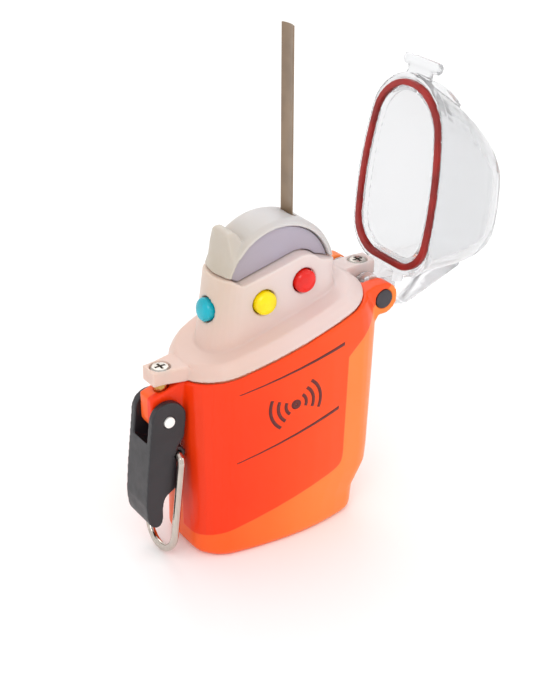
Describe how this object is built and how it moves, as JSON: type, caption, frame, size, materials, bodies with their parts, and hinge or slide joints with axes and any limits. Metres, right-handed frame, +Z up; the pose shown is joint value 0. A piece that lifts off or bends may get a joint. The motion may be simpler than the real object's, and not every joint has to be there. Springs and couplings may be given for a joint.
{
  "type": "emergency position beacon",
  "caption": "Palm-sized rescue beacon: orange case, translucent top with push buttons, spring tape antenna, hinged clear lid and a lever latch with a wire bail",
  "frame": {"origin": "middle of the flat base, on the surface the beacon stands on", "axes": "+Z up, +X towards the lid hinge, -X towards the latch, -Y the front with the two front buttons"},
  "size_m": [0.1148, 0.0358, 0.1365],
  "materials": {
    "orange_shell": "satin moulded orange",
    "frosted_cover": "frosted translucent moulding",
    "smoke_window": "smooth translucent, faint violet",
    "clear_lid": "clear polycarbonate, frosted rim",
    "black_plastic": "fine matt texture",
    "white_plastic": "plain moulded",
    "screw_steel": "stainless",
    "wire_steel": "polished stainless wire",
    "brass": "plain",
    "gasket_red": "silicone, satin",
    "seal_peach": "silicone, satin",
    "tape_steel": "thin tan coating",
    "board_green": "solder mask",
    "cell_wrap": "plain plastic sleeve",
    "ceramic": "unglazed ceramic",
    "button_yellow": "glossy",
    "button_red": "glossy",
    "button_cyan": "glossy",
    "led_clear": "clear lens"
  },
  "bodies": {
    "case": {"case_shell": "orange_shell", "case_seal": "seal_peach", "top_cover": "frosted_cover", "hood": "frosted_cover", "cheek_window_front": "smoke_window", "cheek_window_back": "smoke_window", "cover_screw_latch_end": "screw_steel", "cover_screw_hinge_end": "screw_steel", "screw_insert_latch_end": "brass", "screw_insert_hinge_end": "brass", "antenna_mount": "white_plastic", "hinge_pin_front": "screw_steel", "hinge_pin_back": "screw_steel", "hinge_plug_front": "black_plastic", "hinge_plug_back": "black_plastic", "latch_pivot": "white_plastic", "cell_cradle": "white_plastic", "cell_latch_side": "cell_wrap", "cell_hinge_side": "cell_wrap", "contact_spring_latch_side": "screw_steel", "contact_spring_hinge_side": "screw_steel", "contact_strap": "brass", "cell_clamp": "white_plastic", "gps_board": "board_green", "gps_patch": "ceramic", "main_board": "board_green", "rf_shield": "screw_steel", "switch_board": "board_green", "switch_yellow": "black_plastic", "switch_red": "black_plastic", "switch_cyan": "black_plastic", "end_board": "board_green", "strobe_board": "board_green", "strobe_led": "led_clear", "antenna_tape": "tape_steel"},
    "lid": {"lid_shell": "clear_lid", "lid_gasket": "gasket_red"},
    "lever": {"latch_lever": "black_plastic"},
    "bail": {"latch_bail": "wire_steel"},
    "button_y": {"button_yellow": "button_yellow"},
    "button_r": {"button_red": "button_red"},
    "button_c": {"button_cyan": "button_cyan"}
  },
  "joints": [
    {"name": "lid_hinge", "type": "hinge", "parent": "case", "child": "lid", "pos_m": [0.032, 0, 0.063], "axis": [0, 1, 0], "range_deg": [-114, 0], "deforming": ["antenna_tape"]},
    {"name": "latch_lever_hinge", "type": "hinge", "parent": "case", "child": "lever", "pos_m": [-0.0298, 0, 0.0422], "axis": [0, 1, 0], "range_deg": [0, 90]},
    {"name": "bail_hinge", "type": "hinge", "parent": "lever", "child": "bail", "pos_m": [-0.0274, 0, 0.0315], "axis": [0, 1, 0], "range_deg": [0, 120]},
    {"name": "button_yellow_press", "type": "slide", "parent": "case", "child": "button_y", "axis": [0, 1, 0], "range_m": [0, 0.0008], "stiffness_N_per_m": 2000},
    {"name": "button_red_press", "type": "slide", "parent": "case", "child": "button_r", "axis": [0, 1, 0], "range_m": [0, 0.0008], "stiffness_N_per_m": 2000},
    {"name": "button_cyan_press", "type": "slide", "parent": "case", "child": "button_c", "axis": [0.9859, 0, -0.1676], "range_m": [0, 0.0008], "stiffness_N_per_m": 2000}
  ]
}
